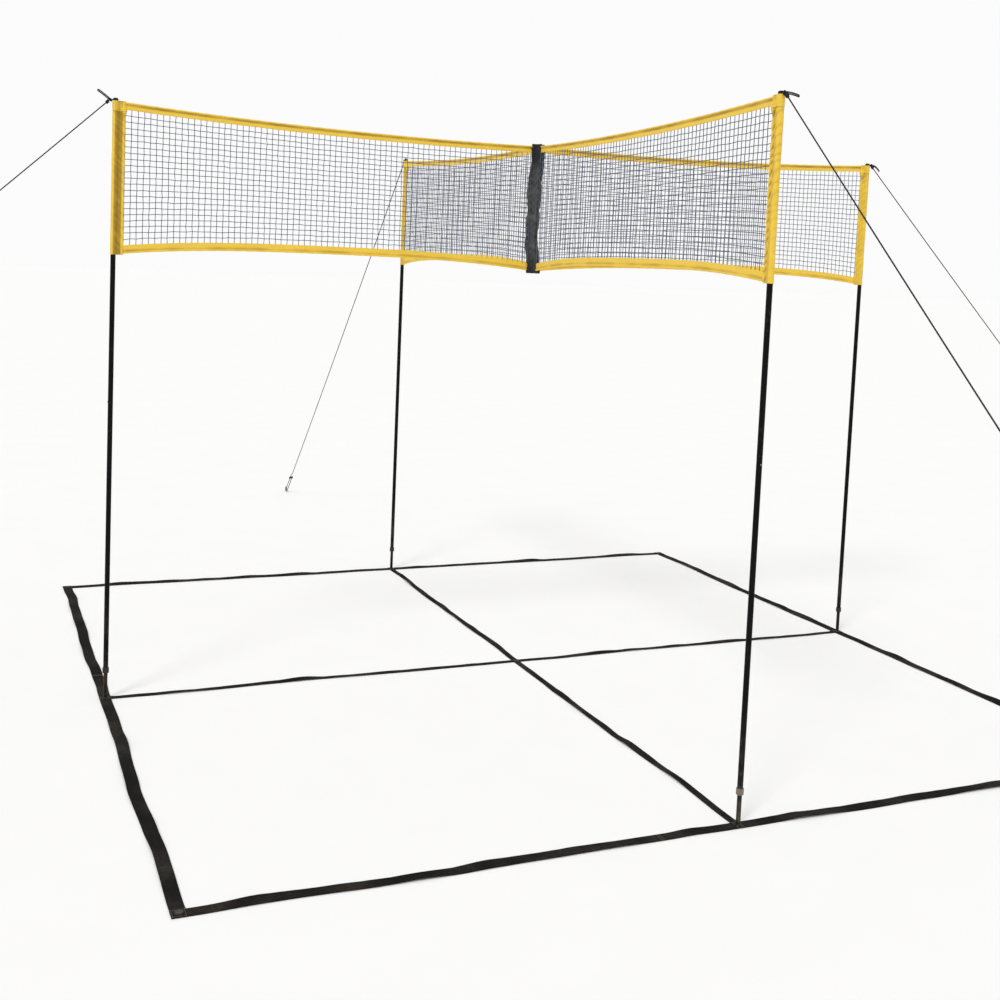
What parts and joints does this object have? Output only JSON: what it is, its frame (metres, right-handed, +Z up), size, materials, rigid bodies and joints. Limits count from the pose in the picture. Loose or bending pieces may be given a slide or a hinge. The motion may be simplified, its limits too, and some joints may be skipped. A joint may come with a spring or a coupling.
{
  "type": "four-way volleyball net with a court outline",
  "caption": "A four-way volleyball net: crossing yellow-taped net panels on slim black poles with guy ropes, over a square court of black webbing.",
  "frame": {"origin": "on the ground at the middle of the court, under the crossing of the webbing", "axes": "+Z up, +X to the right pole, +Y to the back pole"},
  "size_m": [9.0048, 9.0048, 2.6242],
  "materials": {
    "black_paint": "satin black paint on steel tube",
    "bare_tube": "plain drawn tube, lightly dulled",
    "black_plastic": "matte moulded plastic",
    "pale_plastic": "pale grey moulded plastic",
    "court_webbing": "flat woven black webbing, dusty",
    "strap_webbing": "black gathered fabric",
    "steel_rod": "bright drawn steel",
    "guy_cord": "braided dark grey cord",
    "netting": "knotted thin dark blue-grey mesh",
    "yellow_tape": "golden yellow coated tape",
    "sleeve_cloth": "golden yellow coated cloth",
    "white_cord": "off-white twisted cord"
  },
  "bodies": {
    "ground_set": {"leg_left": "bare_tube", "leg_right": "bare_tube", "leg_back": "bare_tube", "leg_front": "bare_tube", "foot_plugs": "black_plastic", "outline_left": "court_webbing", "outline_right": "court_webbing", "outline_back": "court_webbing", "outline_front": "court_webbing", "cross_strip_x": "court_webbing", "cross_strip_y": "court_webbing", "corner_pegs": "black_plastic", "guy_stakes": "steel_rod", "guy_rope_left": "guy_cord", "guy_rope_right": "guy_cord", "guy_rope_back": "guy_cord", "guy_rope_front": "guy_cord"},
    "net_frame": {"lower_pole_left": "black_paint", "lower_pole_right": "black_paint", "lower_pole_back": "black_paint", "lower_pole_front": "black_paint", "upper_pole_left": "black_paint", "upper_pole_right": "black_paint", "upper_pole_back": "black_paint", "upper_pole_front": "black_paint", "guide_bushes": "black_plastic", "pole_caps": "black_plastic", "guy_knots": "guy_cord", "net_left": "netting", "net_right": "netting", "net_back": "netting", "net_front": "netting", "top_tape_left": "yellow_tape", "top_tape_right": "yellow_tape", "top_tape_back": "yellow_tape", "top_tape_front": "yellow_tape", "bottom_tape_left": "yellow_tape", "bottom_tape_right": "yellow_tape", "bottom_tape_back": "yellow_tape", "bottom_tape_front": "yellow_tape", "head_cords": "white_cord", "foot_cords": "white_cord", "centre_strap": "strap_webbing", "pole_sleeve_left": "sleeve_cloth", "pole_sleeve_right": "sleeve_cloth", "pole_sleeve_back": "sleeve_cloth", "pole_sleeve_front": "sleeve_cloth"},
    "lock_collar_left": {"lock_collar_left": "pale_plastic"},
    "lock_collar_right": {"lock_collar_right": "pale_plastic"},
    "lock_collar_back": {"lock_collar_back": "pale_plastic"},
    "lock_collar_front": {"lock_collar_front": "pale_plastic"},
    "snap_button_left": {"snap_button_left": "steel_rod"},
    "snap_button_right": {"snap_button_right": "steel_rod"},
    "snap_button_back": {"snap_button_back": "steel_rod"},
    "snap_button_front": {"snap_button_front": "steel_rod"},
    "rope_runner_left": {"rope_runner_left": "black_plastic"},
    "rope_runner_right": {"rope_runner_right": "black_plastic"},
    "rope_runner_back": {"rope_runner_back": "black_plastic"},
    "rope_runner_front": {"rope_runner_front": "black_plastic"}
  },
  "joints": [
    {"name": "height", "type": "slide", "parent": "ground_set", "child": "net_frame", "axis": [0, 0, 1], "range_m": [-0.1, 0], "deforming": ["guy_rope_left", "guy_rope_right", "guy_rope_back", "guy_rope_front"]},
    {"name": "collar_twist_left", "type": "hinge", "parent": "net_frame", "child": "lock_collar_left", "pos_m": [-1.85, 0, 0.12], "axis": [0, 0, 1], "range_deg": [0, 90]},
    {"name": "collar_twist_right", "type": "hinge", "parent": "net_frame", "child": "lock_collar_right", "pos_m": [1.85, 0, 0.12], "axis": [0, 0, 1], "range_deg": [0, 90]},
    {"name": "collar_twist_back", "type": "hinge", "parent": "net_frame", "child": "lock_collar_back", "pos_m": [0, 1.85, 0.12], "axis": [0, 0, 1], "range_deg": [0, 90]},
    {"name": "collar_twist_front", "type": "hinge", "parent": "net_frame", "child": "lock_collar_front", "pos_m": [0, -1.85, 0.12], "axis": [0, 0, 1], "range_deg": [0, 90]},
    {"name": "button_press_left", "type": "slide", "parent": "net_frame", "child": "snap_button_left", "axis": [-1, 0, 0], "range_m": [-0.003, 0], "stiffness_N_per_m": 600, "springref_m": 0.002},
    {"name": "button_press_right", "type": "slide", "parent": "net_frame", "child": "snap_button_right", "axis": [1, 0, 0], "range_m": [-0.003, 0], "stiffness_N_per_m": 600, "springref_m": 0.002},
    {"name": "button_press_back", "type": "slide", "parent": "net_frame", "child": "snap_button_back", "axis": [0, 1, 0], "range_m": [-0.003, 0], "stiffness_N_per_m": 600, "springref_m": 0.002},
    {"name": "button_press_front", "type": "slide", "parent": "net_frame", "child": "snap_button_front", "axis": [0, -1, 0], "range_m": [-0.003, 0], "stiffness_N_per_m": 600, "springref_m": 0.002},
    {"name": "runner_slide_left", "type": "slide", "parent": "ground_set", "child": "rope_runner_left", "axis": [-0.7312, 0, -0.6822], "range_m": [0, 0.11]},
    {"name": "runner_slide_right", "type": "slide", "parent": "ground_set", "child": "rope_runner_right", "axis": [0.7312, 0, -0.6822], "range_m": [0, 0.11]},
    {"name": "runner_slide_back", "type": "slide", "parent": "ground_set", "child": "rope_runner_back", "axis": [0, 0.7312, -0.6822], "range_m": [0, 0.11]},
    {"name": "runner_slide_front", "type": "slide", "parent": "ground_set", "child": "rope_runner_front", "axis": [0, -0.7312, -0.6822], "range_m": [0, 0.11]}
  ]
}
